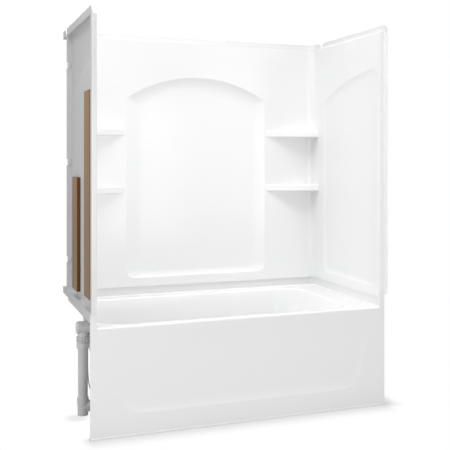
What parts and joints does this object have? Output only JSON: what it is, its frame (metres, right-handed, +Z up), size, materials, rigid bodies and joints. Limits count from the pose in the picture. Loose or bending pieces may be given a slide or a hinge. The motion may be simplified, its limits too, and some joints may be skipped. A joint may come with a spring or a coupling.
{
  "type": "tub and shower unit",
  "caption": "Recess bathtub with a moulded apron and three shower wall panels with corner shelves, wood backers behind the end walls, and a cable-driven bath waste at the left end.",
  "frame": {"origin": "on the floor, below the centre of the unit's overall box", "axes": "+X along the apron from the drain end to the backrest end, +Y from the apron to the back wall, +Z up"},
  "size_m": [1.524, 0.843, 1.964],
  "materials": {
    "moulded_white": "glossy",
    "backer_wood": "raw",
    "waste_plastic": "satin",
    "clip_plastic": "satin",
    "seal_rubber": "matte",
    "bright_trim": "polished",
    "screw_steel": "brushed",
    "brass": "plain",
    "drive_plastic": "satin",
    "cable_sheath": "satin"
  },
  "bodies": {
    "unit": {"bathtub": "moulded_white", "base_board": "backer_wood", "base_runners": "backer_wood", "back_wall": "moulded_white", "left_end_wall": "moulded_white", "right_end_wall": "moulded_white", "left_wall_clips": "clip_plastic", "right_wall_clips": "clip_plastic", "left_long_backer": "backer_wood", "left_short_backer": "backer_wood", "right_long_backer": "backer_wood", "right_short_backer": "backer_wood", "overflow_body": "waste_plastic", "overflow_gasket": "seal_rubber", "overflow_plate": "bright_trim", "overflow_screws": "screw_steel", "riser_nut": "waste_plastic", "riser_washer": "seal_rubber", "riser_adapter": "waste_plastic", "riser_pipe": "waste_plastic", "waste_tee": "waste_plastic", "waste_arm": "waste_plastic", "drain_shoe": "waste_plastic", "drain_gasket": "seal_rubber", "drain_flange": "bright_trim", "operating_cable": "cable_sheath", "cable_nuts": "brass"},
    "knob": {"overflow_knob": "bright_trim", "drive_cam": "drive_plastic"},
    "stopper": {"stopper_cap": "bright_trim", "stopper_seal": "seal_rubber", "stopper_stem": "brass", "lift_plunger": "brass"}
  },
  "joints": [
    {"name": "knob_turn", "type": "hinge", "parent": "unit", "child": "knob", "pos_m": [-0.68608, -0.0065, 0.434], "axis": [0.9828, 0, 0.1849], "range_deg": [0, 90]},
    {"name": "stopper_lift", "type": "slide", "parent": "unit", "child": "stopper", "axis": [0, 0, 1], "range_m": [0, 0.0091]}
  ],
  "couplings": [
    {"joint": "stopper_lift", "follows": "knob_turn", "m_per_rad": 0.00573}
  ]
}
